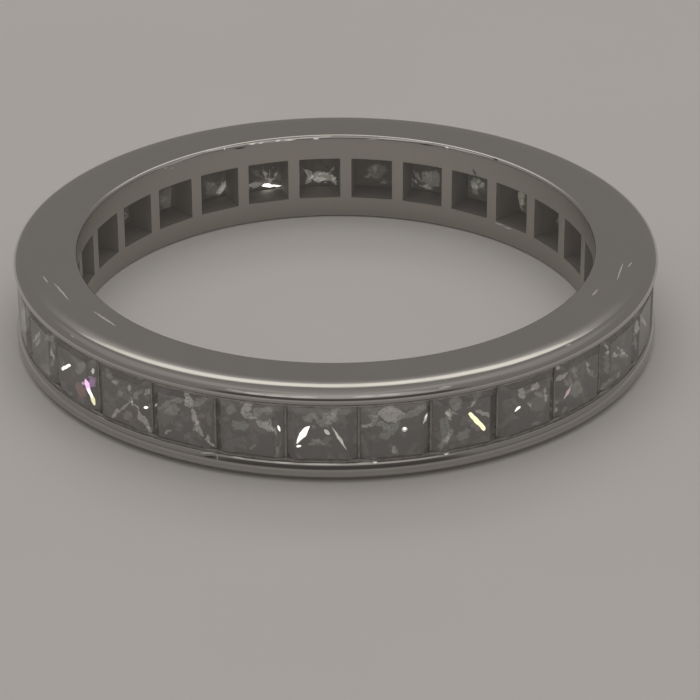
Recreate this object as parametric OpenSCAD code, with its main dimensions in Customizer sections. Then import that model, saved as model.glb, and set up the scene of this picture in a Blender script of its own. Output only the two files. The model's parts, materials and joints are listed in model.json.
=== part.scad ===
// Channel-set eternity ring with square princess-cut stones, lying on its side.
// The origin is the ring's centre at the level of the surface that it rests on,
// and +Z is the axis of the finger bore. Sizes are in millimetres.

/* [Ring] */
// Diameter over the outside of the rails
ring_d = 21.0; // [20.9:0.1:21.4]
// Diameter of the finger bore
bore_d = 16.9; // [16.7:0.1:17.1]
// Width of the band along the finger, which is its height as it lies
ring_w = 3.1; // [3.1:0.05:3.4]
// Rounding of each rail's outer edge
outer_round = 0.4; // [0.3:0.05:0.4]
// Rounding of the bore's two edges
bore_round = 0.1; // [0.06:0.02:0.16]

/* [Channel] */
// Width of the channel between the rails' lips
channel_w = 2.0; // [1.98:0.01:2.04]
// Rounding of each rail's lip over the stones
lip_round = 0.18; // [0.06:0.02:0.18]
// Depth of the girdle groove in each rail
groove_depth = 0.115; // [0.11:0.005:0.14]
// Thickness of the gallery wall round the bore
gallery_t = 0.95; // [0.6:0.05:1.0]

/* [Gallery windows] */
// Width of each window round the ring
window_w = 1.43; // [1.2:0.01:1.5]
// Height of each window along the finger
window_h = 1.47; // [1.2:0.01:1.6]

/* [Stones] */
// Number of stones in the full circle
stone_count = 29; // [29:1:29]
// Direction of the first stone, counter-clockwise from +X in degrees
first_stone_deg = 6.8; // [0:0.1:12]
// Side of the square girdle
stone_w = 2.17; // [2.1:0.01:2.17]
// Side of the square table
table_w = 1.52; // [1.3:0.01:1.6]
// Depth of the table below the rails' outside
table_recess = 0.12; // [0.1:0.01:0.14]
// Height of the crown above the girdle
crown_h = 0.24; // [0.2:0.01:0.24]
// Thickness of the girdle
girdle_t = 0.03; // [0.02:0.005:0.04]
// Slopes of the pavilion's three rows of facets, from the girdle down to the point
pavilion_deg = [60, 50, 42]; // [40:1:60]

/* [Hidden] */

ring_r = ring_d / 2;
bore_r = bore_d / 2;
half_w = ring_w / 2;
channel_half = channel_w / 2;
gallery_r = bore_r + gallery_t;
pitch_deg = 360 / stone_count;

stone_half = stone_w / 2;
table_half = table_w / 2;
table_r = ring_r - table_recess;
girdle_top_r = table_r - crown_h;
girdle_low_r = girdle_top_r - girdle_t;

// Radii of the groove from the inside out. Its outer flank leaves room for the corners
// of the flat stones, which lie further out than the middle of their sides.
groove_in_r = girdle_low_r - 0.21;
groove_floor_in_r = girdle_low_r - 0.03;
groove_floor_out_r = girdle_top_r + 0.08;
groove_out_r = girdle_top_r + 0.17;

// Where the pavilion's rows of facets begin and end, as parts of the girdle's half side
row_ends = [1, 0.8, 0.42, 0];
// Tip of each star facet: its reach from the table to the girdle, and its height in the crown
star_reach = 0.9;
star_rise = 0.14;

arc_fn = 64;
turn_fn = 180;
overlap = 1;
metal_color = [0.66, 0.65, 0.62];
stone_color = [0.78, 0.82, 0.84];

function stone_name(i) = str("stone_", i < 10 ? "0" : "", i);
function stone_angle(i) = first_stone_deg + (i - 1) * pitch_deg;

// Depth below the girdle at which the pavilion's first n rows of facets end
function pavilion_depth(n) =
    n == 0 ? 0
    : pavilion_depth(n - 1)
        + stone_half * (row_ends[n - 1] - row_ends[n]) * tan(pavilion_deg[n - 1]);

// Four points a quarter turn apart, the first of them at (x, y, z)
function quarter_turns(x, y, z) =
    [for (a = [0:90:270]) [x * cos(a) - y * sin(a), x * sin(a) + y * cos(a), z]];

// What a rounding of radius r takes off a corner at the origin, with material towards +X and +Y
module corner_waste(r) {
    difference() {
        translate([-overlap, -overlap]) square(r + overlap);
        translate([r, r]) circle(r, $fn = arc_fn);
    }
}

// Waste of the section's upper half: outer edge, bore edge, lip and girdle groove
module upper_waste() {
    translate([ring_r, half_w]) rotate(180) corner_waste(outer_round);
    translate([bore_r, half_w]) rotate(-90) corner_waste(bore_round);
    translate([ring_r, channel_half]) rotate(90) corner_waste(lip_round);
    polygon([
        [groove_in_r, 0],
        [groove_in_r, channel_half],
        [groove_floor_in_r, channel_half + groove_depth],
        [groove_floor_out_r, channel_half + groove_depth],
        [groove_out_r, channel_half],
        [groove_out_r, 0]
    ]);
}

// The band's section: both rails, the channel between them and the gallery wall
module band_section() {
    difference() {
        translate([bore_r, -half_w]) square([ring_r - bore_r, ring_w]);
        translate([gallery_r, -channel_half]) square([ring_r, channel_w]);
        upper_waste();
        mirror([0, 1]) upper_waste();
    }
}

// One square hole through the gallery wall, on +X
module window() {
    translate([bore_r - overlap, -window_w / 2, -window_h / 2])
        cube([gallery_t + 2 * overlap, window_w, window_h]);
}

// Rails, lips, grooves and pierced gallery, all one piece of metal
module band() {
    color(metal_color)
        translate([0, 0, half_w])
        rotate([0, 0, first_stone_deg])
        difference() {
            rotate_extrude($fn = turn_fn) band_section();
            for (k = [0:stone_count - 1])
                rotate([0, 0, k * pitch_deg]) window();
        }
}

// A princess-cut stone with its girdle's lower edge at z = 0 and its table up
module princess_cut() {
    table_z = girdle_t + crown_h;
    star_y = table_half + (stone_half - table_half) * star_reach;
    points = concat(
        quarter_turns(table_half, table_half, table_z),
        quarter_turns(0, star_y, girdle_t + crown_h * star_rise),
        quarter_turns(stone_half, stone_half, girdle_t),
        quarter_turns(stone_half, stone_half, 0),
        quarter_turns(0, stone_half * row_ends[1], -pavilion_depth(1)),
        quarter_turns(0, stone_half * row_ends[2], -pavilion_depth(2)),
        [[0, 0, -pavilion_depth(3)]]
    );
    culet = len(points) - 1;
    sides = [0:3];

    // Indices on side q: its corner on the table and girdle, and the points on its middle line
    function table(q) = q % 4;
    function star(q) = 4 + q;
    function girdle_top(q) = 8 + q % 4;
    function girdle_low(q) = 12 + q % 4;
    function first_row(q) = 16 + q;
    function second_row(q) = 20 + q;

    crown = concat(
        [[table(3), table(2), table(1), table(0)]],
        [for (q = sides) [table(q), table(q + 1), star(q)]],
        [for (q = sides) [table(q), star(q), girdle_top(q)]],
        [for (q = sides) [table(q + 1), girdle_top(q + 1), star(q)]],
        [for (q = sides) [star(q), girdle_top(q + 1), girdle_top(q)]]
    );
    girdle = [for (q = sides)
        [girdle_top(q), girdle_top(q + 1), girdle_low(q + 1), girdle_low(q)]];
    pavilion = concat(
        [for (q = sides) [girdle_low(q), girdle_low(q + 1), first_row(q)]],
        [for (q = sides) [girdle_low(q), first_row(q), second_row(q)]],
        [for (q = sides) [girdle_low(q + 1), second_row(q), first_row(q)]],
        [for (q = sides) [girdle_low(q), second_row(q), culet]],
        [for (q = sides) [girdle_low(q + 1), culet, second_row(q)]]
    );
    polyhedron(points, concat(crown, girdle, pavilion), convexity = 2);
}

// Stone i in its place, with its table facing out
module stone(i) {
    color(stone_color)
        rotate([0, 0, stone_angle(i)])
        translate([girdle_low_r, 0, half_w])
        rotate([0, 90, 0])
        princess_cut();
}

band();
for (i = [1:stone_count])
    stone(i);
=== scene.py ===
# Eternity ring lying on its side: a worn platinum band with a channel of square cut stones
import json
import math

import bmesh
import bpy
from mathutils import Matrix, Vector, noise


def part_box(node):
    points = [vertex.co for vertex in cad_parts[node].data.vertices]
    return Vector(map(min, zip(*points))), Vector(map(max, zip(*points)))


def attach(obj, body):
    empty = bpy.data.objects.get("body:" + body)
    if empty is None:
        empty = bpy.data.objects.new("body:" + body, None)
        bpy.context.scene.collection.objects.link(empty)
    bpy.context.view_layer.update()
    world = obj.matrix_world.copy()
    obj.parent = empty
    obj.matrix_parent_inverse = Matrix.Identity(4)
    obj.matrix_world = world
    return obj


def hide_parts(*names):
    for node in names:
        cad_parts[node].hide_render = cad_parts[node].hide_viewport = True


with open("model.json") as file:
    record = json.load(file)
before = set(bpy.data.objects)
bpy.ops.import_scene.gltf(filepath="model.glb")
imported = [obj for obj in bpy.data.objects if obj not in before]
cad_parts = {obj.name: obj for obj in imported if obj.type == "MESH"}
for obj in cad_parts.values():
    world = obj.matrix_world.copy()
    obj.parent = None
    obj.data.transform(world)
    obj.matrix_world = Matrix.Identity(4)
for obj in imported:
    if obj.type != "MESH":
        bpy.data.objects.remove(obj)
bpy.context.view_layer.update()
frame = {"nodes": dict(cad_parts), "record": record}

mm = 0.001
bandLow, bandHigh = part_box("band")
stoneNames = sorted(name for name in frame["nodes"] if name.startswith("stone_"))
boreRadius = frame["record"]["mounts"][0]["dims"]["r_mm"] * mm
outerRadius = bandHigh.x
middleHeight = (bandHigh.z + bandLow.z) / 2
halfWidth = (bandHigh.z - bandLow.z) / 2
pitch = 2 * math.pi / len(stoneNames)
firstStoneAngle = math.radians(6.8)


# Short ways to put nodes into a tree and wire them up

class NodeBench:
    def __init__(self, tree):
        self.tree = tree

    def feed(self, socket, value):
        if isinstance(value, bpy.types.NodeSocket):
            self.tree.links.new(value, socket)
        elif value is not None:
            socket.default_value = value

    def add(self, kind, *values, **settings):
        node = self.tree.nodes.new(kind)
        for key, value in settings.items():
            setattr(node, key, value)
        for socket, value in zip(node.inputs, values):
            self.feed(socket, value)
        return node

    def calc(self, operation, *values):
        return self.add("ShaderNodeMath", *values, operation=operation).outputs[0]

    def vector(self, operation, *values):
        node = self.add("ShaderNodeVectorMath", *values, operation=operation)
        return node.outputs["Value" if operation in ("LENGTH", "DOT_PRODUCT") else "Vector"]

    def scaled(self, value, factor):
        node = self.add("ShaderNodeVectorMath", value, operation="SCALE")
        self.feed(node.inputs["Scale"], factor)
        return node.outputs["Vector"]

    def parts(self, value):
        return self.add("ShaderNodeSeparateXYZ", value).outputs

    def joined(self, *values):
        return self.add("ShaderNodeCombineXYZ", *values).outputs[0]

    def ramp(self, value, start, end):
        # 0 at start and 1 at end, smooth between them; start may be the higher of the two
        node = self.add("ShaderNodeMapRange", value, interpolation_type="SMOOTHSTEP")
        self.feed(node.inputs["From Min"], min(start, end))
        self.feed(node.inputs["From Max"], max(start, end))
        self.feed(node.inputs["To Min"], 0 if start < end else 1)
        self.feed(node.inputs["To Max"], 1 if start < end else 0)
        return node.outputs[0]

    def both(self, *masks):
        result = masks[0]
        for mask in masks[1:]:
            result = self.calc("MULTIPLY", result, mask)
        return result

    def blend(self, share, first, second):
        # between two numbers
        node = self.add("ShaderNodeMix", share, data_type="FLOAT")
        self.feed(node.inputs[2], first)
        self.feed(node.inputs[3], second)
        return node.outputs[0]

    def tint(self, share, first, second, way="MIX"):
        # between two colours
        node = self.add("ShaderNodeMix", share, data_type="RGBA", blend_type=way)
        for socket, value in ((node.inputs[6], first), (node.inputs[7], second)):
            self.feed(socket, (*value, 1) if isinstance(value, tuple) else value)
        return node.outputs[2]

    def cloud(self, place, scale, detail=2.0, fourth=None, twist=0.0):
        node = self.add("ShaderNodeTexNoise", noise_dimensions="3D" if fourth is None else "4D")
        self.feed(node.inputs["Vector"], place)
        if fourth is not None:
            self.feed(node.inputs["W"], fourth)
        self.feed(node.inputs["Scale"], scale)
        self.feed(node.inputs["Detail"], detail)
        self.feed(node.inputs["Distortion"], twist)
        return node.outputs["Fac"]

    def ragged(self, place, scale, reach, detail=2.0):
        # the place shaken by noise, for edges that aren't drawn with a ruler
        node = self.add("ShaderNodeTexNoise", noise_dimensions="3D")
        self.feed(node.inputs["Vector"], place)
        self.feed(node.inputs["Scale"], scale)
        self.feed(node.inputs["Detail"], detail)
        offset = self.vector("SUBTRACT", node.outputs["Color"], (0.5, 0.5, 0.5))
        return self.vector("ADD", place, self.scaled(offset, reach))

    def group(self, tree, **values):
        node = self.add("ShaderNodeGroup", node_tree=tree)
        for name, value in values.items():
            self.feed(node.inputs[name], value)
        return node.outputs


vectorSockets = ("Vector", "Place", "Along", "Aside", "Facing")


def newGroup(name, given, result):
    # an empty shader group with its sockets, all numbers but those named above
    tree = bpy.data.node_groups.new(name, "ShaderNodeTree")
    for side, sockets in (("INPUT", given), ("OUTPUT", result)):
        for label in sockets:
            kind = "NodeSocketVector" if label in vectorSockets else "NodeSocketFloat"
            tree.interface.new_socket(label, in_out=side, socket_type=kind)
    bench = NodeBench(tree)
    return tree, bench, bench.add("NodeGroupInput").outputs, bench.add("NodeGroupOutput").inputs


def newMaterial(name):
    # a material, its bench and its surface's sockets, with any glow at full strength
    material = bpy.data.materials.new(name)
    material.use_nodes = True
    surface = material.node_tree.nodes["Principled BSDF"].inputs
    surface["Emission Strength"].default_value = 1.0
    return material, NodeBench(material.node_tree), surface


def placeOnPiece(bench):
    # in mm
    return bench.scaled(bench.add("ShaderNodeTexCoord").outputs["Object"], 1 / mm)


def placeFromMiddle(bench):
    # in mm from the ring's middle
    return bench.vector("SUBTRACT", placeOnPiece(bench), (0, 0, middleHeight / mm))


def newObject(name, data):
    made = bpy.data.objects.new(name, data)
    bpy.context.scene.collection.objects.link(made)
    return made


def meshFrom(bm, name):
    mesh = bpy.data.meshes.new(name)
    bm.to_mesh(mesh)
    bm.free()
    return mesh


def makeSoftPatches():
    # blotches with soft edges: smears, a film of dust, an uneven polish
    sockets = ("Vector", "Size", "Low", "High", "Seed")
    tree, bench, given, result = newGroup("softPatches", sockets, ("Mask",))
    scale = bench.calc("DIVIDE", 1.0, given["Size"])
    field = bench.cloud(given["Vector"], scale, detail=3.0, fourth=given["Seed"], twist=0.6)
    node = bench.add("ShaderNodeMapRange", field, given["Low"], given["High"],
                     interpolation_type="SMOOTHSTEP")
    bench.feed(result["Mask"], node.outputs[0])
    return tree


markForms = {"lozenge": 1.1, "oval": 1.7, "bar": 4.0}
markEdge = (1.15, 0.8)  # where a mark begins to show and where it shows in full, 1 at its outline


def makeMark():
    # one mark on a surface, whose form is its Fullness
    sockets = ("Vector", "Place", "Along", "Aside", "Facing", "Depth", "Fullness")
    tree, bench, given, result = newGroup("singleMark", sockets, ("Mask",))
    moved = bench.vector("SUBTRACT", given["Vector"], given["Place"])

    def reached(axis):
        # 1 where the axis reaches the mark's end
        return bench.calc("ABSOLUTE", bench.vector("DOT_PRODUCT", moved, given[axis]))
    reach = bench.calc("ADD", bench.calc("POWER", reached("Along"), given["Fullness"]),
                       bench.calc("POWER", reached("Aside"), given["Fullness"]))
    near = bench.calc("LESS_THAN", reached("Facing"), given["Depth"])
    bench.feed(result["Mask"], bench.both(bench.ramp(reach, *markEdge), near))
    return tree


softPatches = makeSoftPatches()
singleMark = makeMark()


def patchMask(bench, place, size, reach, seed=0.0):
    low, high = reach
    return bench.group(softPatches, Vector=place, Size=size, Low=low, High=high, Seed=seed)["Mask"]


# The camera, where the photo was taken from

cameraFit = {
    "distance": 108.2 * mm,
    "elevation": 26.368,  # angles in degrees
    "yaw": 0.2357,
    "pitch": -1.1598,
    "roll": -0.3787,
    "focalPixels": 3292.2,
    "frameWidth": 700,
    "sensorWidth": 36,
    "nearest": 1 * mm,
    "farthest": 10,
}


def makeCamera(c, centre):
    elevation, yaw, pitchAngle, roll = (math.radians(c[k]) for k in ("elevation", "yaw", "pitch", "roll"))
    ahead = Vector((0, math.cos(elevation), -math.sin(elevation)))
    right = Vector((1, 0, 0))
    up = right.cross(ahead)
    sight = ((ahead * math.cos(yaw) + right * math.sin(yaw)) * math.cos(pitchAngle)
             + up * math.sin(pitchAngle))
    level = sight.cross(up).normalized()
    above = level.cross(sight)
    right = level * math.cos(roll) + above * math.sin(roll)
    up = above * math.cos(roll) - level * math.sin(roll)
    data = bpy.data.cameras.new("photoCamera")
    data.sensor_width = c["sensorWidth"]
    data.lens = c["focalPixels"] / c["frameWidth"] * data.sensor_width
    data.clip_start = c["nearest"]
    data.clip_end = c["farthest"]
    camera = newObject("photoCamera", data)
    axes = Matrix((right, up, -sight)).transposed().to_4x4()
    axes.translation = centre - ahead * c["distance"]
    camera.matrix_world = axes
    bpy.context.scene.camera = camera


# Marks that the photo shows, each laid on its surface along the sight line through its pixels

def photoRay(x, y):
    camera = bpy.context.scene.camera.matrix_world
    middle = cameraFit["frameWidth"] / 2
    ahead = camera.to_3x3() @ Vector((x - middle, middle - y, -cameraFit["focalPixels"]))
    return camera.translation, ahead.normalized()


def chartedMark(mark, node, depth):
    # the mark's place and slopes in mm from the ring's middle, where its sight line meets the node
    start, end, width, form, light = mark
    middleX, middleY = (start[0] + end[0]) / 2, (start[1] + end[1]) / 2
    eye, ahead = photoRay(middleX, middleY)
    hit, point, facing, _ = frame["nodes"][node].ray_cast(eye, ahead)
    if not hit:
        # the sight line slips past the node's edge, so the plane of its middle serves
        low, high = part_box(node)
        point, facing = (low + high) / 2, -ahead

    def pierced(x, y):
        _, sight = photoRay(x, y)
        spot = eye + sight * ((point - eye).dot(facing) / sight.dot(facing))
        return (spot - Vector((0, 0, middleHeight))) / mm
    run, rise = end[0] - start[0], end[1] - start[1]
    aside = width / 2 / math.hypot(run, rise)
    centre = pierced(middleX, middleY)
    tip = pierced(*end) - centre
    edge = pierced(middleX - rise * aside, middleY + run * aside) - centre
    acrossEdge, acrossTip = edge.cross(ahead), tip.cross(ahead)
    return {"place": centre, "along": acrossEdge / tip.dot(acrossEdge),
            "aside": acrossTip / edge.dot(acrossTip), "facing": facing / depth,
            "form": form, "light": light}


def turnedMark(mark, angle):
    # the same mark further round the ring
    turn = Matrix.Rotation(angle, 3, "Z")
    moved = {key: turn @ mark[key] for key in ("place", "along", "aside", "facing")}
    return {**mark, **moved}


def maskOf(bench, mark, place):
    return bench.group(singleMark, Vector=place, Place=mark["place"], Along=mark["along"],
                       Aside=mark["aside"], Facing=mark["facing"], Depth=1.0,
                       Fullness=markForms[mark["form"]])["Mask"]


# The band

bandSizes = {
    # arcs from a rail's flat side face outwards: the angle that each bends to, and its radius
    "upperShoulder": [(10, 2.6 * mm), (24, 0.7 * mm), (48, 0.36 * mm), (62, 0.3 * mm), (90, 0.2 * mm)],
    "upperLip": [(118, 0.2 * mm), (180, 0.14 * mm)],
    "lowerShoulder": [(10, 2.4 * mm), (24, 0.65 * mm), (48, 0.36 * mm), (62, 0.3 * mm), (90, 0.2 * mm)],
    "lowerLip": [(118, 0.475 * mm), (132, 0.34 * mm), (180, 0.055 * mm)],  # drawn further over the stones
    "boreEdge": [(12, 0.5 * mm), (40, 0.15 * mm), (90, 0.07 * mm)],  # from the side face inwards
    "lipEdge": 10.34 * mm,
    "channelHalf": 1.0 * mm,
    "galleryRadius": boreRadius + 0.95 * mm,
    "grooveDepth": 0.115 * mm,
    "grooveRadii": [10.22 * mm, 10.08 * mm, 9.9 * mm],
    "windowHalfWidth": 0.715 * mm,
    "windowHalfHeight": 0.735 * mm,
    "windowDrop": 0.05 * mm,  # the windows lie this much below the middle
    "windowEdge": 0.012 * mm,  # worn edge round each window
    "arcStep": 6,  # in degrees
    "flatSteps": 6,  # along the bore's wall and the side face
    "channelWallSteps": 3,
    "channelFloorSteps": 2,
    "columnsInWindow": 12,
    "columnsBeside": 5,
    "rowsInWindow": 6,
    "tunnelSteps": 3,
    "weldGap": 0.0004 * mm,
    "sharpFrom": 40,  # an edge stays sharp where its faces meet at more degrees than this
}


def straight(start, end, steps):
    # points between two corners, both left out
    return [(start[0] + (end[0] - start[0]) * n / steps, start[1] + (end[1] - start[1]) * n / steps)
            for n in range(1, steps)]


def bentBy(fromDeg, toDeg, bend):
    # how far an arc leads outwards and down while its surface turns from one angle to the other
    a, b = math.radians(fromDeg), math.radians(toDeg)
    return bend * (math.sin(b) - math.sin(a)), bend * (math.cos(a) - math.cos(b))


def arcLine(start, arcs, side, arcStep):
    # arcs that run on smoothly from a flat start, outwards where side is 1 and inwards where it is -1
    points, fromDeg = [start], 0
    for toDeg, bend in arcs:
        steps = max(3, round((toDeg - fromDeg) / arcStep))
        turn = (toDeg - fromDeg) / steps
        for n in range(steps):
            out, down = bentBy(fromDeg + turn * n, fromDeg + turn * (n + 1), bend)
            points.append((points[-1][0] + out * side, points[-1][1] - down))
        fromDeg = toDeg
    return points


def arcReach(arcs):
    # how far such arcs lead sideways
    turns = [0] + [toDeg for toDeg, bend in arcs]
    return sum(bentBy(a, b, bend)[0] for a, (b, bend) in zip(turns, arcs))


def railSection(s, windowTop, shoulder, lip):
    # one rail from the window's edge on the bore, over the side face, to its edge on the channel's floor
    flatStart = (boreRadius + arcReach(s["boreEdge"]), halfWidth)
    flatEnd = (outerRadius - arcReach(shoulder), halfWidth)
    channel, grooveTop = s["channelHalf"], s["channelHalf"] + s["grooveDepth"]
    floorOut, floorIn, innerWall = s["grooveRadii"]
    boreEdge = arcLine(flatStart, s["boreEdge"], -1, s["arcStep"])
    corner, windowEdge = (s["galleryRadius"], channel), (s["galleryRadius"], windowTop)
    points = [(boreRadius, windowTop)]
    points += straight(points[0], boreEdge[-1], s["flatSteps"])
    points += reversed(boreEdge)
    points += straight(flatStart, flatEnd, s["flatSteps"])
    points += arcLine(flatEnd, shoulder + lip, 1, s["arcStep"])
    points += [(floorOut, grooveTop), (floorIn, grooveTop), (innerWall, channel)]
    points += straight((innerWall, channel), corner, s["channelWallSteps"])
    points += [corner]
    points += straight(corner, windowEdge, s["channelFloorSteps"])
    points += [windowEdge]
    return points


def columnAngle(s, radius, column):
    # window columns stand square to the wall, the rest fan out to the sector's two sides
    inside, beside = s["columnsInWindow"], s["columnsBeside"]
    middle = beside + inside / 2
    offset = abs(column - middle)
    side = 1 if column > middle else -1
    windowAngle = math.asin(s["windowHalfWidth"] * min(1, offset / (inside / 2)) / radius)
    share = max(0, offset - inside / 2) / beside
    return side * (windowAngle + share * (pitch / 2 - windowAngle))


def sectorMesh(s):
    # one stone's share of the band, with its window
    rows = s["rowsInWindow"]
    upper = railSection(s, s["windowHalfHeight"] - s["windowDrop"], s["upperShoulder"], s["upperLip"])
    lower = railSection(s, s["windowHalfHeight"] + s["windowDrop"], s["lowerShoulder"], s["lowerLip"])
    lower = [(r, -z) for r, z in reversed(lower)]
    section = upper + straight(upper[-1], lower[0], rows) + lower + straight(lower[-1], upper[0], rows)
    total, columns = len(section), s["columnsInWindow"] + 2 * s["columnsBeside"]
    left, right = s["columnsBeside"], s["columnsBeside"] + s["columnsInWindow"]
    floorTop, boreTop = len(upper) - 1, 0
    floorBottom = floorTop + rows
    boreBottom = total - rows

    bm = bmesh.new()
    grid = []
    for r, z in section:
        angles = [columnAngle(s, r, column) for column in range(columns + 1)]
        grid.append([bm.verts.new((r * math.cos(a), r * math.sin(a), z)) for a in angles])

    def inWindow(row, column):
        onWall = floorTop <= row < floorBottom or boreBottom <= row
        return onWall and left <= column < right

    for row in range(total):
        below = (row + 1) % total
        for column in range(columns):
            if not inWindow(row, column):
                bm.faces.new((grid[row][column], grid[row][column + 1],
                              grid[below][column + 1], grid[below][column]))

    # the window's walls, through the gallery from the bore to the channel's floor
    across = list(range(left, right + 1))
    rim = [(boreTop, floorTop, column) for column in across]
    rim += [((total - n) % total, floorTop + n, right) for n in range(1, rows)]
    rim += [(boreBottom, floorBottom, column) for column in reversed(across)]
    rim += [((total - n) % total, floorTop + n, left) for n in range(rows - 1, 0, -1)]
    steps = s["tunnelSteps"]
    lines = []
    for boreRow, floorRow, column in rim:
        start, end = grid[boreRow][column], grid[floorRow][column]
        inner = [bm.verts.new(start.co.lerp(end.co, n / steps)) for n in range(1, steps)]
        lines.append([start] + inner + [end])
    for line, following in zip(lines, lines[1:] + lines[:1]):
        for n in range(steps):
            bm.faces.new((line[n], line[n + 1], following[n + 1], following[n]))
    bmesh.ops.recalc_face_normals(bm, faces=bm.faces)

    rimEdges = []
    for line, following in zip(lines, lines[1:] + lines[:1]):
        for end in (0, -1):
            rimEdges.append(bm.edges.get((line[end], following[end])))
    bmesh.ops.bevel(bm, geom=rimEdges, offset=s["windowEdge"], segments=2, profile=0.5, affect="EDGES")
    bmesh.ops.translate(bm, verts=bm.verts, vec=(0, 0, middleHeight))
    return meshFrom(bm, "bandSector")


def turnedAndWelded(sector, weldGap, finish):
    # Geometry Nodes: a sector repeated round the axis, welded into one ring
    tree = bpy.data.node_groups.new("sectorsRoundTheRing", "GeometryNodeTree")
    face = tree.interface
    face.new_socket("Sector", in_out="INPUT", socket_type="NodeSocketGeometry")
    sockets = {}
    for name, kind in [("Sectors", "NodeSocketInt"), ("First Angle", "NodeSocketFloat"),
                       ("Weld Gap", "NodeSocketFloat"), ("Finish", "NodeSocketMaterial")]:
        sockets[name] = face.new_socket(name, in_out="INPUT", socket_type=kind).identifier
    face.new_socket("Ring", in_out="OUTPUT", socket_type="NodeSocketGeometry")

    bench = NodeBench(tree)
    given = bench.add("NodeGroupInput").outputs
    result = bench.add("NodeGroupOutput").inputs
    points = bench.add("GeometryNodePoints", given["Sectors"])
    step = bench.calc("DIVIDE", 2 * math.pi, given["Sectors"])
    index = bench.add("GeometryNodeInputIndex").outputs[0]
    turn = bench.calc("MULTIPLY_ADD", index, step, given["First Angle"])
    placed = bench.add("GeometryNodeInstanceOnPoints")
    bench.feed(placed.inputs["Points"], points.outputs[0])
    bench.feed(placed.inputs["Instance"], given["Sector"])
    bench.feed(placed.inputs["Rotation"], bench.joined(None, None, turn))
    realized = bench.add("GeometryNodeRealizeInstances", placed.outputs[0])
    welded = bench.add("GeometryNodeMergeByDistance", realized.outputs[0])
    bench.feed(welded.inputs["Distance"], given["Weld Gap"])
    smooth = bench.add("GeometryNodeSetShadeSmooth", welded.outputs[0])
    finished = bench.add("GeometryNodeSetMaterial", smooth.outputs[0])
    bench.feed(finished.inputs["Material"], given["Finish"])
    bench.feed(result[0], finished.outputs[0])

    carrier = newObject("sectorCarrier", sector)
    repeat = carrier.modifiers.new("aroundTheRing", "NODES")
    repeat.node_group = tree
    repeat[sockets["Sectors"]] = len(stoneNames)
    repeat[sockets["First Angle"]] = firstStoneAngle
    repeat[sockets["Weld Gap"]] = weldGap
    repeat[sockets["Finish"]] = finish
    evaluated = carrier.evaluated_get(bpy.context.evaluated_depsgraph_get())
    mesh = bpy.data.meshes.new_from_object(evaluated)
    bpy.data.objects.remove(carrier)
    return mesh


def makeBand(s, finish):
    mesh = turnedAndWelded(sectorMesh(s), s["weldGap"], finish)
    mesh.name = "wornBand"
    mesh.set_sharp_from_angle(angle=math.radians(s["sharpFrom"]))
    band = newObject("wornBand", mesh)
    evener = band.modifiers.new("evenShading", "WEIGHTED_NORMAL")
    evener.keep_sharp = True
    print("band:", len(mesh.vertices), "vertices,", len(mesh.polygons), "faces")
    return band


platinumLook = {
    "colour": (0.60, 0.585, 0.565),
    "boreColour": (0.5, 0.483, 0.447),
    "lipShade": 0.78,  # painted shade: how much darker the rails' colour is made beside the stones
    "inside": (0.27, 0.257, 0.24),  # where polish and fingers don't reach
    "sillShade": (0.2, 0.19, 0.177),  # painted shade on the windows' upward-facing bottom faces
    "paintedInsideGlow": (0.0235, 0.022, 0.0199),  # painted glow that lifts the shade inside the windows and the channel
    "scratch": (0.92, 0.9, 0.87),
    "dirt": (0.13, 0.12, 0.11),
    # painted highlights, given as glow
    "paintedGlint": (0.42, 0.41, 0.39),
    "paintedShine": (0.12, 0.117, 0.11),
    "polish": 0.08,
    "bore": 0.34,
    "insideRoughness": 0.7,
    "scratchRoughness": 0.5,
    "dullMetallic": 0.3,  # of the inside and the dirt
    "smearSize": 1.8,
    "smearReach": (0.4, 0.65),
    "smearRoughness": 0.035,
    "grainPitch": 0.03,  # in mm across the polishing lines
    "grainsPerRadian": 4.0,  # along them
    "grainHeight": 0.00004 * mm,
    "waveSize": 1.1,
    "waveHeight": 0.0022 * mm,
    "raggedScale": 5.0,  # how uneven the edges of the wear and the painted highlights are: grains to the mm, reach in mm
    "raggedReach": 0.035,
    "wearAndHighlightDepth": 0.5,
}

# Soft edges of the metal's finishes and its painted shade, in mm past a line of the band: where each begins
# and is full
finishEdges = {
    "insideAtBore": (0.012, 0.024),
    "insideAtLip": (0.012, -0.012),
    "insideAtChannel": (0.14, 0.12),
    "wallAtBore": (0.062, 0.012),
    "wallAtSide": (-0.04, -0.1),
    "sillShadeAtWindow": (0.03, 0.01),
    "sillShadeAtGallery": (0.02, 0.0),
    "shadeAtLip": (-0.06, -0.02),
    "shadeFromChannel": (0.0, 0.05),
    "shadeUpTo": (0.26, 0.2),  # past the channel too
}
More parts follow.
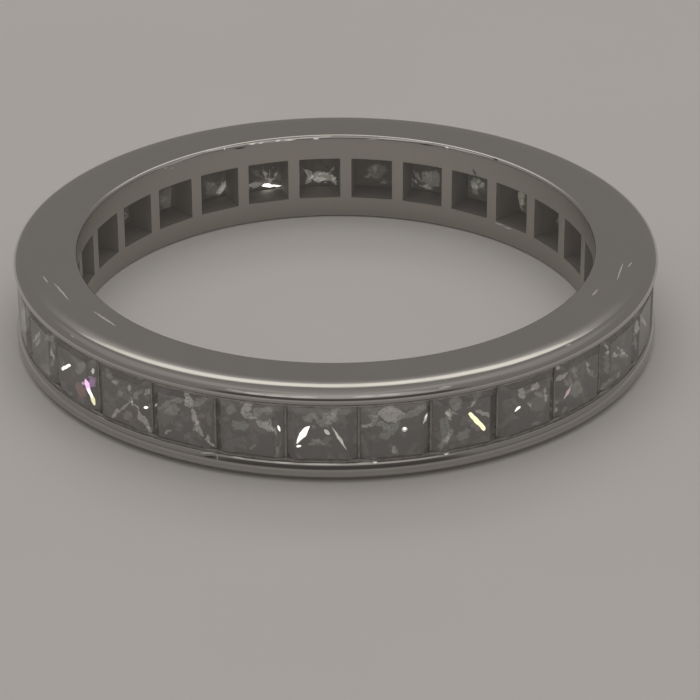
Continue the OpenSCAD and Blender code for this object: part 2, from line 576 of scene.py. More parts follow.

# Wear on the metal and painted highlights: from and to in the photo's pixels, width there, form and kind; the
# shine and glint marks are painted highlights, the scratch and dirt marks wear
bandWearAndHighlights = [
    ((43, 276), (48, 283), 1.4, "oval", "scratch"), ((54, 283), (69, 300), 1.6, "oval", "scratch"),
    ((93, 311), (116, 326), 1.7, "oval", "scratch"),
    ((623, 263), (617, 280), 1.5, "oval", "scratch"), ((632, 262), (628, 267), 1.4, "oval", "scratch"),
    ((598, 289), (592, 296), 1.5, "oval", "scratch"), ((70, 335), (75, 338), 1.6, "lozenge", "scratch"),
    ((205, 151.4), (250, 143.6), 1.6, "bar", "paintedShine"), ((247, 144.1), (298, 138.8), 2.2, "bar", "paintedShine"),
    ((295, 138.8), (332, 136.2), 1.8, "bar", "paintedShine"), ((378, 138), (432, 142.6), 1.5, "bar", "paintedShine"),
    ((430, 142.8), (492, 158), 1.4, "lozenge", "paintedShine"), ((150, 172), (207, 151.2), 1.2, "lozenge", "paintedShine"),
    ((248.5, 144.5), (256, 143.2), 1.8, "lozenge", "paintedGlint"),
    ((258, 143.8), (264, 142), 1.5, "lozenge", "paintedGlint"),
    ((275, 141.5), (281, 140.3), 1.8, "lozenge", "paintedGlint"),
    ((283, 140.8), (296, 139.3), 1.4, "lozenge", "paintedGlint"),
    ((313, 138.8), (319, 138.3), 1.6, "oval", "paintedGlint"), ((224.2, 148), (224.6, 150), 1.5, "oval", "paintedGlint"),
    ((164, 168.5), (168, 167.5), 1.2, "lozenge", "paintedShine"),
    ((170, 169), (174, 167.6), 1.2, "lozenge", "paintedShine"),
    ((445, 147), (449, 148), 1.4, "oval", "paintedGlint"), ((365, 139), (381, 139.4), 1.2, "lozenge", "paintedShine"),
    ((232, 456.4), (244, 458.4), 1.5, "oval", "paintedShine"), ((274, 462.1), (293, 463.2), 1.6, "oval", "paintedShine"),
    ((303, 464), (341, 464), 1.6, "oval", "paintedShine"), ((356, 463.4), (372, 462.3), 1.4, "oval", "paintedShine"),
    ((233, 149.2), (247, 147), 1.8, "lozenge", "dirt"), ((419, 144), (434, 146), 1.5, "lozenge", "dirt"),
    ((493, 158), (498, 160.5), 2.0, "oval", "dirt"), ((472.5, 168), (476.5, 177), 1.7, "lozenge", "dirt"),
    ((494, 222.5), (505, 226), 1.5, "lozenge", "scratch"),
    ((503, 227), (513, 229.5), 1.4, "lozenge", "scratch"),
    ((566, 346), (571, 344), 1.8, "oval", "scratch"),
    ((372.5, 462), (377, 461.8), 2.4, "oval", "paintedGlint"), ((444, 454.2), (449, 452.8), 2.4, "oval", "paintedGlint"),
    ((200, 453), (217, 452.6), 1.8, "oval", "scratch"), ((203, 456.3), (218, 457.5), 2.6, "lozenge", "dirt"),
    ((216.8, 455), (217.4, 460), 1.3, "oval", "scratch"), ((225, 388.7), (244, 392), 1.2, "oval", "paintedShine"),
    ((243, 392.1), (266, 395.1), 2.0, "oval", "paintedShine"), ((264, 395), (289, 396.8), 2.0, "oval", "paintedShine"),
    ((286, 396.8), (318, 397.3), 2.2, "oval", "paintedShine"), ((352, 397), (378, 396), 2.0, "oval", "paintedShine"),
    ((376, 396), (401, 393.9), 1.8, "oval", "paintedShine"), ((438, 388.6), (452, 386), 2.0, "oval", "paintedShine"),
]


def makePlatinum(look):
    material, bench, surface = newMaterial("wornPlatinum")
    place = placeFromMiddle(bench)
    x, y, height = bench.parts(place)
    radius = bench.vector("LENGTH", bench.joined(x, y))
    depth = bench.calc("ABSOLUTE", height)
    boreLine, sideLine = boreRadius / mm, halfWidth / mm
    lipLine, channelLine = bandSizes["lipEdge"] / mm, bandSizes["channelHalf"] / mm
    galleryLine = bandSizes["galleryRadius"] / mm
    sillLine = -(bandSizes["windowHalfHeight"] + bandSizes["windowDrop"]) / mm

    def edge(value, line, name):
        start, end = finishEdges[name]
        return bench.ramp(value, line + start, line + end)

    # dark and matt in the windows, the channel and the grooves
    inside = bench.both(edge(radius, boreLine, "insideAtBore"), edge(radius, lipLine, "insideAtLip"),
                        edge(depth, channelLine, "insideAtChannel"))
    bore = bench.both(edge(radius, boreLine, "wallAtBore"), edge(depth, sideLine, "wallAtSide"))

    # wear and painted highlights, each kind gathered into one mask
    ragged = bench.ragged(place, look["raggedScale"], look["raggedReach"])
    wearAndHighlights = {"scratch": 0.0, "dirt": 0.0, "paintedGlint": 0.0, "paintedShine": 0.0}
    for row in bandWearAndHighlights:
        mark = chartedMark(row, "band", look["wearAndHighlightDepth"])
        wearAndHighlights[mark["light"]] = bench.calc("MAXIMUM", wearAndHighlights[mark["light"]], maskOf(bench, mark, ragged))

    # painted shade: the windows' bottom faces, which face the light, made darker
    sillShade = bench.both(inside, edge(height, sillLine, "sillShadeAtWindow"),
                      edge(radius, galleryLine, "sillShadeAtGallery"))
    smears = patchMask(bench, place, look["smearSize"], look["smearReach"])
    # painted shade: the rails' colour darker beside the stones, where they meet them
    besideStones = bench.both(edge(radius, lipLine, "shadeAtLip"),
                              edge(depth, channelLine, "shadeFromChannel"),
                              edge(depth, channelLine, "shadeUpTo"))
    shadedColour = tuple(part * look["lipShade"] for part in look["colour"])
    colour = bench.tint(bore, look["colour"], look["boreColour"])
    colour = bench.tint(besideStones, colour, shadedColour)
    colour = bench.tint(inside, colour, look["inside"])
    colour = bench.tint(sillShade, colour, look["sillShade"])
    colour = bench.tint(wearAndHighlights["scratch"], colour, look["scratch"])
    bench.feed(surface["Base Color"], bench.tint(wearAndHighlights["dirt"], colour, look["dirt"]))
    # painted light: a glow inside the windows and the channel, then the painted highlights of the shine and
    # glint marks
    glow = bench.tint(inside, (0.0, 0.0, 0.0), look["paintedInsideGlow"])
    glow = bench.tint(wearAndHighlights["paintedShine"], glow, look["paintedShine"])
    bench.feed(surface["Emission Color"], bench.tint(wearAndHighlights["paintedGlint"], glow, look["paintedGlint"]))
    polish = bench.calc("MULTIPLY_ADD", smears, look["smearRoughness"], look["polish"])
    rough = bench.blend(bore, polish, look["bore"])
    rough = bench.blend(inside, rough, look["insideRoughness"])
    bench.feed(surface["Roughness"], bench.blend(wearAndHighlights["scratch"], rough, look["scratchRoughness"]))
    metal = bench.blend(inside, 1.0, look["dullMetallic"])
    bench.feed(surface["Metallic"], bench.blend(wearAndHighlights["dirt"], metal, look["dullMetallic"]))

    # polishing lines run round the ring; the closed circle is the first two of four dimensions
    outward = bench.vector("NORMALIZE", bench.joined(x, y))
    ox, oy, _ = bench.parts(bench.scaled(outward, look["grainsPerRadian"]))
    lines = bench.joined(ox, oy, bench.calc("DIVIDE", radius, look["grainPitch"]))
    rise = bench.calc("DIVIDE", height, look["grainPitch"])
    grain = bench.cloud(lines, scale=1.0, detail=1.0, fourth=rise)
    waves = bench.cloud(place, 1 / look["waveSize"], detail=1.0)
    relief = bench.calc("ADD", bench.calc("MULTIPLY", grain, look["grainHeight"]),
                        bench.calc("MULTIPLY", waves, look["waveHeight"]))
    bump = bench.add("ShaderNodeBump")
    bump.inputs["Distance"].default_value = 1.0
    bench.feed(bump.inputs["Height"], relief)
    bench.feed(surface["Normal"], bump.outputs[0])
    return material


# The stones

diamondLook = {
    "clear": 0.38,  # the rest is the film on the facets
    "film": (0.225, 0.214, 0.205),
    "wiped": (0.33, 0.316, 0.302),
    "roughness": 0.1,
    "refraction": 2.417,
    "patchSize": 0.55,
    "patchReach": (0.5, 0.62),
    "crispScale": 4.5,  # how uneven the edges of its bright flashes are: grains to the mm, reach in mm
    "crispReach": 0.08,
    "cloudyScale": 5.5,  # and of its dim ones
    "cloudyReach": 0.3,
    "streakScale": 8.0,
    "streakReach": (0.36, 0.6),
    "streakTwist": 1.5,
    "streaks": 1.2,  # how strongly the dim ones are broken up
    "crownBase": (10.11, 10.13),  # in mm from the axis, where the crown's side begins
    "besideLips": (0.72, 0.84),  # in mm from the middle
    "paintedDeepGlow": (0.029, 0.0268, 0.0242),  # painted glow on the stones' points, where they show through the windows
    # painted glow that lifts the shade of the crowns beside the lips
    "paintedLipGlow": (0.02, 0.019, 0.0175),
    "flashDepth": 0.3,
    "lastThroughWindow": 15,  # the photo shows stones 1 to 15 from inside
}

# colours of the painted flashes, given as glow
flashLights = {
    "white": (1.15, 1.1, 1.02),
    "bright": (0.36, 0.34, 0.31),
    "pale": (0.125, 0.117, 0.106),
    "grey": (0.058, 0.055, 0.05),
    "faint": (0.027, 0.0245, 0.022),
    "green": (0.046, 0.052, 0.042),
    "brown": (0.052, 0.04, 0.034),
    "olive": (0.1, 0.098, 0.072),
    "lemon": (1.02, 1.0, 0.6),
    "straw": (0.78, 0.74, 0.45),
    "rose": (0.95, 0.52, 0.92),
    "purple": (0.16, 0.085, 0.17),
    "red": (0.075, 0.032, 0.034),
    "pink": (0.33, 0.215, 0.26),
}

clearLights = ("white", "bright", "lemon", "straw", "rose", "pink")

# Flashes painted on each stone as glow, standing in for its sparkle and reflections: from and to in the
# photo's pixels, width there, form and light.
# Stones 1 to 15 show their points through the windows, 16 to 28 their tables.
flashes = {
    1: [((589, 236), (589, 262), 9, "bar", "faint")],
    2: [((575, 233), (580, 246), 7, "oval", "green"), ((565, 259), (571, 256), 1.6, "lozenge", "pale")],
    3: [((553, 217), (558, 231), 8, "bar", "grey"), ((536, 239), (541, 238), 1.6, "lozenge", "pale")],
    4: [((520, 191), (520, 206), 9, "bar", "olive"), ((516, 203), (524, 211), 3, "lozenge", "pale"),
        ((507, 211), (515, 223), 3.5, "oval", "grey"), ((500, 196), (514, 206), 14, "oval", "faint")],
    5: [((468, 183), (485, 185), 11, "oval", "green"), ((472, 180), (477, 196), 7, "lozenge", "grey"),
        ((470, 189), (480, 181), 5, "lozenge", "grey"), ((479, 187), (485, 183), 3, "oval", "grey")],
    6: [((421, 178), (440, 180), 16, "bar", "grey"), ((419, 184.5), (434, 189.5), 3.2, "lozenge", "pale"),
        ((413, 170), (423, 183), 3, "oval", "grey"), ((411, 177), (412, 187), 2.6, "oval", "grey"),
        ((414, 179), (417, 184), 2.6, "oval", "pale"), ((424, 172), (432, 180), 6, "lozenge", "faint")],
    7: [((362, 174), (388, 170), 14, "oval", "faint"), ((364, 177), (371, 175), 3.5, "oval", "grey"),
        ((380, 182), (387, 183.5), 2.6, "oval", "grey"), ((373, 165), (376, 171), 5, "oval", "faint")],
    8: [((307, 177.5), (337, 177.5), 9, "oval", "pale"), ((313, 180), (326, 179), 6, "oval", "pale"),
        ((304, 169), (313, 178), 5, "lozenge", "pale"), ((332, 175), (336, 186), 5, "lozenge", "pale"),
        ((306, 184), (312, 176), 5, "oval", "pale"), ((314, 173), (333, 173), 3, "oval", "pale"),
        ((330, 171), (334, 168), 3, "oval", "grey")],
    9: [((261.5, 185.8), (281.5, 186), 2.4, "oval", "white"),
        ((263, 185.4), (271.5, 185), 4.2, "oval", "white"), ((266, 182), (275, 179), 4, "lozenge", "pale"),
        ((247, 187), (263, 183), 6.5, "lozenge", "pale"), ((267, 181), (264, 168), 2.2, "lozenge", "pale"),
        ((268, 179), (271.5, 168), 2.2, "lozenge", "pale"), ((274, 179), (277, 172), 2, "lozenge", "pale"),
        ((275, 178), (284, 178), 9, "oval", "faint"), ((252, 169), (262, 179), 5, "lozenge", "faint")],
    10: [((217, 195), (226.5, 181), 8, "lozenge", "pale"), ((218, 194), (225.5, 184), 4, "lozenge", "pale"),
         ((205.5, 189), (217, 189), 12, "bar", "faint")],
    11: [((164, 207), (174, 189), 13, "bar", "faint")],
    12: [((130, 208), (130, 225), 6, "bar", "brown"), ((132.5, 205), (132.5, 222), 1.5, "bar", "faint")],
    13: [((101, 245), (116, 245), 12, "oval", "faint")],
    14: [((93, 236), (93, 262), 3, "bar", "green")],
    16: [((25, 308), (25, 331), 7, "bar", "grey")],
    17: [((33.5, 342), (40.5, 331), 2.6, "oval", "pale"), ((35.5, 347), (41, 338), 2.2, "oval", "pale"),
         ((45, 338), (51, 338), 6, "oval", "grey"), ((52.3, 349), (52.3, 359), 2.4, "oval", "pale"),
         ((52.5, 334), (52.5, 368), 4, "bar", "grey"), ((40, 366), (50, 369), 8, "oval", "faint"),
         ((46, 371), (51, 375), 3, "oval", "grey")],
    18: [((61.8, 369.3), (70.5, 364.3), 3.2, "bar", "white"), ((88, 388), (92.5, 398), 3.0, "oval", "white"),
         ((85.2, 379), (90.2, 393), 4.4, "oval", "rose"), ((90, 392.5), (95, 405.5), 4.2, "oval", "straw"),
         ((92.5, 376), (93, 386), 7, "bar", "purple"), ((77.5, 383), (83.5, 398), 9, "oval", "red"),
         ((81.5, 383.5), (85.5, 383.5), 3.5, "oval", "pink"), ((76, 366), (85, 370), 13, "oval", "grey"),
         ((93, 368), (93, 374), 3, "oval", "bright"), ((72, 356), (77, 362), 2, "oval", "grey"),
         ((69, 392), (73, 395), 5, "oval", "grey"), ((61.5, 366), (64, 360), 1.8, "lozenge", "grey"),
         ((88, 366), (96, 366), 12, "oval", "faint"), ((75, 398), (84, 403), 7, "oval", "faint")],
    19: [((111.5, 381.5), (119, 382), 6, "oval", "pale"), ((105, 369), (112, 379), 4.5, "oval", "grey"),
         ((117, 394), (122, 393), 8, "oval", "grey"), ((129.5, 384), (129.5, 391.5), 3.6, "oval", "pale"),
         ((130, 401), (142, 390), 7, "lozenge", "grey"), ((145, 394), (152.5, 389), 5.5, "oval", "pale"),
         ((133, 401), (119, 410), 2.6, "oval", "pale"), ((121, 408.5), (110.5, 417), 4.5, "oval", "pale"),
         ((131, 400), (139, 409), 2.8, "oval", "pale"), ((136.5, 410), (150, 430), 5.5, "oval", "pale"),
         ((148, 427), (153.5, 436), 3.4, "oval", "pale"),
         ((143.8, 407.6), (148.6, 407.2), 2.8, "oval", "white"),
         ((149, 407), (153, 406), 4.5, "oval", "grey"), ((123, 413), (132, 417), 10, "oval", "brown")],
    20: [((165, 410), (180, 409), 12, "oval", "green"), ((157, 409), (173, 400), 3.6, "oval", "grey"),
         ((172, 400), (189, 401), 5, "oval", "grey"), ((184, 401), (193, 402), 9, "oval", "pale"),
         ((185.5, 393), (187.5, 399), 3.6, "oval", "pale"), ((191, 407), (207, 397), 7, "oval", "grey"),
         ((192, 408), (197, 424), 6.5, "oval", "pale"), ((194.5, 421), (201, 436), 6, "oval", "pale"),
         ((206, 434), (209, 442), 4.5, "oval", "pale"), ((209, 440), (213, 447), 2.8, "oval", "pale"),
         ((164.5, 432.5), (172, 431.5), 3.6, "oval", "pale"), ((175, 430), (184, 425), 6, "oval", "faint"),
         ((184, 434), (191, 437), 8, "oval", "faint"), ((209, 410), (210, 425), 5, "oval", "faint"),
         ((199, 414), (206, 416), 7, "oval", "faint")],
    21: [((226, 409), (235, 409), 12, "oval", "grey"), ((241, 413), (258, 418.5), 5, "lozenge", "pale"),
         ((242, 412.5), (253, 402), 8, "oval", "pale"), ((254, 410), (262, 414), 10, "oval", "grey"),
         ((261, 409), (274, 411), 8, "oval", "grey"), ((256, 420), (274, 431), 8, "lozenge", "pale"),
         ((269, 420), (277, 436), 4, "lozenge", "pale"), ((277.5, 425), (280.5, 431.5), 2.6, "oval", "white"),
         ((231, 424), (250, 426), 10, "oval", "green"), ((248, 449.5), (258, 444.5), 3, "oval", "grey"),
         ((281, 443), (275.5, 456), 4, "oval", "grey"), ((238, 401), (244, 403), 3, "oval", "grey")],
    22: [((296, 443.5), (309.5, 425.5), 7, "lozenge", "white"),
         ((299.5, 437), (309, 426), 5.6, "oval", "white"),
         ((296, 446), (301, 445.6), 2.8, "oval", "white"), ((302, 418), (319, 417), 9, "oval", "grey"),
         ((312, 417), (328, 428), 5, "lozenge", "grey"), ((321, 417), (337, 419), 13, "oval", "grey"),
         ((328, 420), (340, 407), 6, "oval", "grey"), ((325, 423), (333, 425), 6, "oval", "grey"),
         ((331.5, 426), (347, 450.5), 3.0, "lozenge", "bright"),
         ((324, 430), (330, 434.5), 3.6, "oval", "bright"),
         ((311, 427), (317, 426.5), 2.4, "oval", "grey"), ((309, 446), (319, 438), 4, "oval", "grey"),
         ((316, 440), (325, 445), 6, "oval", "grey"), ((323, 443), (331, 437), 6, "oval", "faint")],
    23: [((378, 413), (405, 415), 16, "oval", "pale"), ((367, 415), (380, 417), 6, "lozenge", "grey"),
         ((371, 424), (378, 414), 5, "oval", "grey"), ((375, 424), (391, 427), 6.5, "oval", "grey"),
         ((360.5, 427.5), (375, 424), 3.4, "oval", "pale"), ((404, 419), (427, 405), 8, "oval", "grey"),
         ((401.5, 429.5), (407.5, 429), 5.4, "oval", "bright"),
         ((403.5, 429), (406.5, 428.5), 2.6, "oval", "white"),
         ((423, 425), (427.5, 412.5), 2.8, "lozenge", "bright"),
         ((425, 419), (427, 414), 1.5, "oval", "bright"),
         ((390, 444), (398.5, 455.5), 6, "oval", "grey"), ((391, 447), (396, 453), 3, "oval", "grey"),
         ((380, 438), (400, 423), 10, "oval", "green"), ((363, 436), (367, 456), 5, "bar", "faint")],
    24: [((449, 404), (462, 403), 14, "oval", "grey"), ((467, 408.5), (477.5, 400), 3, "lozenge", "pale"),
         ((473, 399), (482, 390), 6, "oval", "grey"), ((462, 396), (472, 391), 6, "oval", "faint"),
         ((444, 413), (458, 414), 6, "lozenge", "pale"), ((446, 412), (450, 420), 5, "lozenge", "pale"),
         ((439, 449), (449, 437), 6, "oval", "grey"), ((447, 442), (453, 428), 4, "oval", "grey"),
         ((456, 437), (470, 435), 9, "oval", "green"), ((443, 418), (447, 440), 9, "bar", "green"),
         ((469.5, 413), (485.2, 430), 4.8, "bar", "lemon"),
         ((474.5, 410), (489, 416), 5, "oval", "pale"), ((468, 420), (480, 431), 6, "oval", "brown"),
         ((463, 430.5), (471, 431.5), 3.4, "oval", "grey")],
    25: [((521, 388), (523.5, 399), 6.5, "oval", "pale"), ((530, 388.5), (540, 384.5), 6.5, "oval", "pale"),
         ((524, 393), (534, 388), 4, "oval", "grey"), ((544.5, 389), (545.5, 402), 4.2, "oval", "pale"),
         ((535, 392), (543, 397), 5, "oval", "grey"), ((514.5, 411.8), (520.5, 406), 2.4, "oval", "white"),
         ((527.5, 404), (532, 405), 3.6, "oval", "pale"), ((512, 399), (516, 406), 4, "oval", "faint"),
         ((532, 424), (541, 423), 3, "oval", "grey"), ((528, 404), (546, 404), 16, "oval", "faint"),
         ((495.5, 395), (495.5, 420), 4, "bar", "faint")],
    26: [((554, 369), (560, 367), 3.6, "oval", "pale"), ((557, 380), (567, 374), 5.5, "oval", "pale"),
         ((574.5, 366.5), (575, 377), 4, "bar", "grey"), ((586.5, 362), (588, 372), 2.6, "oval", "pale"),
         ((587, 371), (596, 376), 3.6, "oval", "grey"), ((564, 399.5), (571, 387), 2.4, "oval", "pink"),
         ((570, 390), (571, 379), 3, "oval", "brown"), ((553, 402), (559, 402), 4.4, "oval", "grey"),
         ((553.5, 410), (558, 409), 4.4, "oval", "pale"), ((562, 413), (567, 406), 4, "oval", "grey"),
         ((552.5, 421), (557, 418), 4, "oval", "grey"), ((570, 388), (582, 390), 18, "oval", "green"),
         ((563, 381), (569, 386), 5, "oval", "grey")],
    27: [((606, 344), (607, 349), 3, "oval", "pale"), ((605.5, 354.5), (609, 352), 3.6, "oval", "pale"),
         ((606.5, 352), (607, 373), 5, "bar", "green"), ((612, 354), (618, 355), 6, "oval", "pale"),
         ((615.5, 345), (628, 357), 3, "lozenge", "pale"), ((618, 354), (628, 357), 5, "oval", "grey"),
         ((600, 389), (612, 379.5), 5, "oval", "grey"), ((616, 377), (620, 372.5), 4, "oval", "grey"),
         ((612, 381), (615.5, 376), 4, "oval", "faint"), ((612, 368), (618, 366), 6, "oval", "faint")],
    28: [((637, 320), (636, 333), 5, "oval", "pale"), ((635, 331), (635.5, 350), 3, "bar", "grey"),
         ((641, 315), (646.5, 326.5), 2.4, "oval", "pale"), ((633, 318), (639, 309), 6, "oval", "faint")],
}


def makeDiamond(name, number, marks, look):
    material, bench, surface = newMaterial(name)
    surface["Transmission Weight"].default_value = look["clear"]
    surface["IOR"].default_value = look["refraction"]
    surface["Roughness"].default_value = look["roughness"]
    place = placeFromMiddle(bench)
    patches = patchMask(bench, place, look["patchSize"], look["patchReach"], float(number))
    bench.feed(surface["Base Color"], bench.tint(patches, look["film"], look["wiped"]))

    # the painted flashes glow outwards only, with edges that a little noise makes ragged
    crisp = bench.ragged(place, look["crispScale"], look["crispReach"])
    cloudy = bench.ragged(place, look["cloudyScale"], look["cloudyReach"], detail=4.0)
    streaks = bench.cloud(place, look["streakScale"], detail=3.0, twist=look["streakTwist"])
    streaks = bench.ramp(streaks, *look["streakReach"])
    streaks = bench.calc("MULTIPLY_ADD", streaks, look["streaks"], 1 - look["streaks"] / 2)
    outside = bench.calc("SUBTRACT", 1.0, bench.add("ShaderNodeNewGeometry").outputs["Backfacing"])
    height = bench.parts(place)[2]
    angle = firstStoneAngle + (number - 1) * pitch
    reach = bench.vector("DOT_PRODUCT", place, (math.cos(angle), math.sin(angle), 0.0))
    shallow = bench.ramp(reach, *look["crownBase"])
    deep = bench.both(bench.calc("SUBTRACT", 1.0, shallow), outside)
    shallow = bench.both(shallow, outside)
    beside = bench.both(shallow, bench.ramp(bench.calc("ABSOLUTE", height), *look["besideLips"]))
    # painted light: a glow in the stones' points and beside the lips, then the painted flashes
    glow = bench.tint(deep, (0.0, 0.0, 0.0), look["paintedDeepGlow"])
    glow = bench.tint(beside, glow, look["paintedLipGlow"])
    for mark in marks:
        clear = mark["light"] in clearLights
        layer = deep if mark["deep"] else shallow
        mask = bench.both(maskOf(bench, mark, crisp if clear else cloudy), layer)
        if not clear:
            mask = bench.both(mask, streaks)
        glow = bench.tint(mask, glow, flashLights[mark["light"]], "ADD")
    bench.feed(surface["Emission Color"], glow)
    return material


def finishStones(look):
    # each stone also takes on its hidden side the painted flashes that show on one across the ring
    charted = {}
    for number, name in enumerate(stoneNames, 1):
        charted[number] = [chartedMark(row, name, look["flashDepth"]) for row in flashes.get(number, [])]
        for mark in charted[number]:
            mark["deep"] = number <= look["lastThroughWindow"]
    across = len(stoneNames) // 2
    for number, name in enumerate(stoneNames, 1):
        other = number + across if number <= across else number - across
        borrowed = [turnedMark(mark, (number - other) * pitch) for mark in charted[other]]
        finish = makeDiamond("diamond" + name[-2:], number, charted[number] + borrowed, look)
        for slot in frame["nodes"][name].material_slots:
            slot.material = finish
    print("stones:", len(stoneNames), "finished,", sum(len(m) for m in charted.values()), "flashes")


# Dust and dirt that has settled between the stones and under the rails' lips, pale and glowing as painted
# light that lifts the shade in these seams

dirtSizes = {
    # points of the section in mm: distance from the axis, and half width or height
    "gap": [(10.15, 0.008), (10.198, 0.013), (10.226, 0.044)],
    "gapCrest": 10.234,
    "gapReach": 0.98,
    "gapSteps": 8,
    "upper": [(10.35, 1.045), (10.27, 0.92), (10.2, 1.02)],
    "lower": [(10.352, 0.925), (10.333, 0.828), (10.262, 0.94)],
    "cornerStart": 0.8,  # from here to the stone's corner the dirt lies deeper
    "cornerFall": 0.38,
    "columns": 16,
    "unevenness": 0.012 * mm,
    "unevenPitch": 0.3 * mm,
    "weldGap": 0.0004 * mm,
}


def dirtSector(s):
    # one stone's share: a seam along each lip, and the seam to the next stone
    bm = bmesh.new()
    for side, name in ((1, "upper"), (-1, "lower")):
        lines = []
        for column in range(s["columns"] + 1):
            a = pitch * (column / s["columns"] - 0.5)
            line = []
            for n, (reach, height) in enumerate(s[name]):
                deeper = max(0, reach * abs(math.tan(a)) - s["cornerStart"]) * s["cornerFall"]
                r = reach if n == 0 else (reach - deeper) / math.cos(a)
                spot = Vector((r * math.cos(a), r * math.sin(a), side * height)) * mm
                line.append(bm.verts.new(spot))
            lines.append(line)
        for line, following in zip(lines, lines[1:]):
            for n in range(3):  # the section is a triangle
                bm.faces.new((line[n], line[n - 2], following[n - 2], following[n]))

    outline = [(r, -w) for r, w in s["gap"]] + [(s["gapCrest"], 0)] + [(r, w) for r, w in reversed(s["gap"])]
    turn = Matrix.Rotation(pitch / 2, 3, "Z")
    rings = []
    for step in range(s["gapSteps"] + 1):
        height = s["gapReach"] * (2 * step / s["gapSteps"] - 1)
        rings.append([bm.verts.new(turn @ Vector((r, w, height)) * mm) for r, w in outline])
    for ring, following in zip(rings, rings[1:]):
        for n in range(len(ring)):
            bm.faces.new((ring[n - 1], ring[n], following[n], following[n - 1]))
    bm.faces.new(rings[0])
    bm.faces.new(rings[-1])
    bmesh.ops.translate(bm, verts=bm.verts, vec=(0, 0, middleHeight))
    return meshFrom(bm, "dirtSector")


def makeDirt(s, finish):
    mesh = turnedAndWelded(dirtSector(s), s["weldGap"], finish)
    mesh.name = "dirtWithPaintedGlow"
    bm = bmesh.new()
    bm.from_mesh(mesh)
    bmesh.ops.recalc_face_normals(bm, faces=bm.faces)
    for vert in bm.verts:
        outward = Vector((vert.co.x, vert.co.y, 0)).normalized()
        vert.co += outward * noise.noise(vert.co / s["unevenPitch"]) * s["unevenness"]
    bm.to_mesh(mesh)
    bm.free()
    dirt = newObject("dirtWithPaintedGlow", mesh)
    print("dirt:", len(mesh.polygons), "faces")
    return dirt


dirtLook = {
    # partly the dirt's own colour, partly painted light: pale to lift the shade in the seams
    "dust": (0.58, 0.55, 0.51),  # under the upper lip
    "dirt": (0.42, 0.4, 0.375),
    "caked": 0.75,  # how much darker it is in spots
    "spotSize": 0.25,
    "spotReach": (0.45, 0.65),
    "roughness": 0.85,
    "glow": (0.011, 0.0104, 0.0098),  # painted glow on the dirt
    "dustGlow": (0.01, 0.0095, 0.009),
    "dustFrom": (0.85, 0.93),  # in mm above the middle
}


def makeDirtFinish(look):
    material, bench, surface = newMaterial("dirtWithPaintedGlow")
    place = placeOnPiece(bench)
    height = bench.parts(place)[2]
    start, end = look["dustFrom"]
    upper = bench.ramp(height, middleHeight / mm + start, middleHeight / mm + end)
    spots = patchMask(bench, place, look["spotSize"], look["spotReach"])
    colour = bench.tint(upper, look["dirt"], look["dust"])
    darker = bench.tint(1.0, colour, (look["caked"],) * 3, "MULTIPLY")
    bench.feed(surface["Base Color"], bench.tint(spots, colour, darker))
    surface["Roughness"].default_value = look["roughness"]
    # painted light: a glow on the dirt, a little weaker on the dust under the upper lip
    bench.feed(surface["Emission Color"], bench.tint(upper, look["glow"], look["dustGlow"]))
    return material


# Floor and light

floorLook = {
    "size": 3.0,  # in metres
    "thickness": 0.02,
    "paper": (0.738, 0.722, 0.71),
    "mottle": (0.747, 0.733, 0.718),
    "mottleSize": 9.0,
    "mottleReach": (0.3, 0.7),
    "roughness": 0.9,
    "gloss": 0.2,
    "glow": (0.02, 0.0193, 0.0187, 1),  # light that seeps through the paper
}


def makeFloorPaper(look):
    material, bench, surface = newMaterial("palePaper")
    mottle = patchMask(bench, placeOnPiece(bench), look["mottleSize"], look["mottleReach"])
    bench.feed(surface["Base Color"], bench.tint(mottle, look["paper"], look["mottle"]))
    surface["Roughness"].default_value = look["roughness"]
    surface["Specular IOR Level"].default_value = look["gloss"]
    surface["Emission Color"].default_value = look["glow"]
    return material


def makeFloor(look, finish):
    bm = bmesh.new()
    bmesh.ops.create_cube(bm, size=1.0)
    bmesh.ops.scale(bm, verts=bm.verts, vec=(look["size"], look["size"], look["thickness"]))
    bmesh.ops.translate(bm, verts=bm.verts, vec=(0, 0, -look["thickness"] / 2))
    mesh = meshFrom(bm, "paleFloor")
    mesh.materials.append(finish)
    floor = newObject("paleFloor", mesh)
    floor.location.z = bandLow.z


# Lamps that look at the ring: azimuth, 0 behind it, and elevation in degrees, distance, width and
# height in metres, radiance, which is what a mirror shows, colour, and whether the metal mirrors them
lamps = {
    "windowBehind": (0, 42, 0.6, 0.36, 0.088, 0.49, (1.0, 0.98, 0.87), True),
    "windowMiddle": (1, 42, 0.59, 0.26, 0.07, 0.13, (1.0, 0.98, 0.87), True),
    "windowGlow": (-3, 44, 0.6, 0.6, 0.2, 0.76, (1.0, 0.97, 0.94), False),
    "ceiling": (0, 88, 0.7, 0.8, 0.8, 0.52, (1.0, 0.97, 0.94), False),
}


def makeLamp(name, azimuth, elevation, distance, width, height, radiance, colour, mirrored):
    a, e = math.radians(azimuth), math.radians(elevation)
    place = Vector((math.sin(a) * math.cos(e), math.cos(a) * math.cos(e), math.sin(e))) * distance
    data = bpy.data.lights.new(name, "AREA")
    data.shape = "ELLIPSE"
    data.size = width
    data.size_y = height
    data.energy = radiance * math.pi * width * height * math.pi / 4
    data.color = colour
    lamp = newObject(name, data)
    lamp.location = place
    lamp.rotation_mode = "QUATERNION"
    lamp.rotation_quaternion = (-place).to_track_quat("-Z", "Y")
    lamp.visible_glossy = mirrored
    lamp.visible_transmission = mirrored


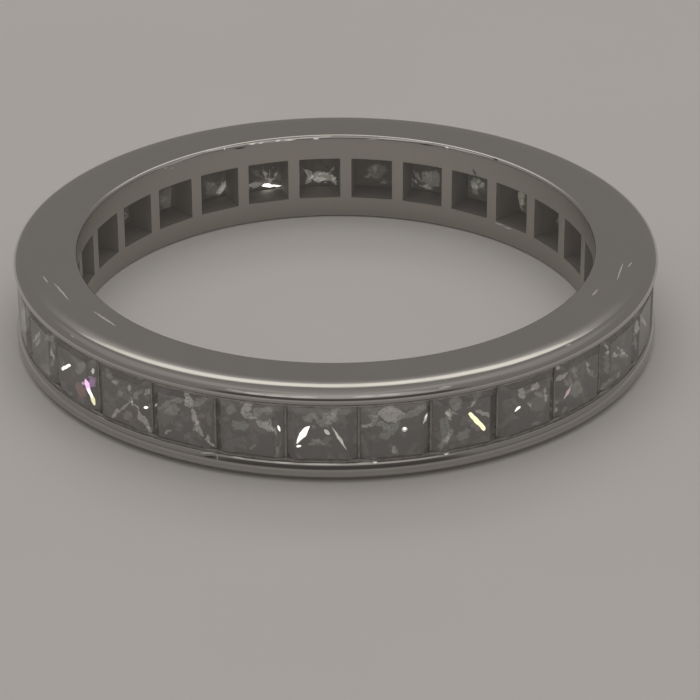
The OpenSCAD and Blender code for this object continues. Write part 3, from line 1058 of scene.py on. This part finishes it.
roomLight = {
    # angles in degrees, azimuth 0 in front of the ring: where each part begins and where it is full
    "ambient": (0.226, 0.213, 0.2025),
    "overhead": 0.6,  # how much brighter the ceiling is
    "overheadRise": (36, 90),
    "wash": 1.0,  # how much the wall in front of the ring adds
    "washAzimuth": (50, 38),
    "washLow": (36, 43), "washHigh": (92, 66),
    "dark": 0.62,  # how much the dark stretch below it takes away
    "darkAzimuth": (50, 36),
    "darkLow": (3, 9), "darkHigh": (38, 34),
    "halo": 1.4,  # how much the glow under the window behind the ring adds
    "haloAzimuth": (158, 170),
    "haloLow": (29.5, 40), "haloHigh": (46, 43),
    "side": 0.35,  # how much the walls to both sides of the window add
    "sideNear": (152, 140), "sideFar": (70, 95),
    "sideLow": (33, 42),
}


def makeWorld(room):
    world = bpy.data.worlds.new("dimRoom")
    world.use_nodes = True
    bench = NodeBench(world.node_tree)
    direction = bench.vector("NORMALIZE", bench.add("ShaderNodeTexCoord").outputs["Generated"])
    x, y, z = bench.parts(direction)
    elevation = bench.calc("DEGREES", bench.calc("ARCSINE", z))
    fromCamera = bench.calc("ARCTAN2", x, bench.calc("MULTIPLY", y, -1.0))
    azimuth = bench.calc("ABSOLUTE", bench.calc("DEGREES", fromCamera))
    wash = bench.both(bench.ramp(azimuth, *room["washAzimuth"]),
                      bench.ramp(elevation, *room["washLow"]), bench.ramp(elevation, *room["washHigh"]))
    dark = bench.both(bench.ramp(azimuth, *room["darkAzimuth"]),
                      bench.ramp(elevation, *room["darkLow"]), bench.ramp(elevation, *room["darkHigh"]))
    side = bench.both(bench.ramp(azimuth, *room["sideNear"]), bench.ramp(azimuth, *room["sideFar"]),
                      bench.ramp(elevation, *room["sideLow"]))
    halo = bench.both(bench.ramp(azimuth, *room["haloAzimuth"]),
                      bench.ramp(elevation, *room["haloLow"]), bench.ramp(elevation, *room["haloHigh"]))
    overhead = bench.ramp(elevation, *room["overheadRise"])
    brighter = bench.calc("MULTIPLY_ADD", overhead, room["overhead"], 1.0)
    brighter = bench.calc("MULTIPLY_ADD", wash, room["wash"], brighter)
    brighter = bench.calc("MULTIPLY_ADD", side, room["side"], brighter)
    brighter = bench.calc("MULTIPLY_ADD", halo, room["halo"], brighter)
    darker = bench.calc("MULTIPLY_ADD", dark, -room["dark"], 1.0)
    sky = world.node_tree.nodes["Background"].inputs
    sky["Color"].default_value = (*room["ambient"], 1)
    bench.feed(sky["Strength"], bench.calc("MULTIPLY", brighter, darker))
    bpy.context.scene.world = world


makeCamera(cameraFit, Vector((0, 0, middleHeight)))

band = makeBand(bandSizes, makePlatinum(platinumLook))
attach(band, "root")
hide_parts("band")

finishStones(diamondLook)

dirt = makeDirt(dirtSizes, makeDirtFinish(dirtLook))
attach(dirt, "root")

makeFloor(floorLook, makeFloorPaper(floorLook))
makeWorld(roomLight)
for name, row in lamps.items():
    makeLamp(name, *row)
bpy.context.scene.view_settings.view_transform = "Standard"
print("stage: floor, camera and light set")
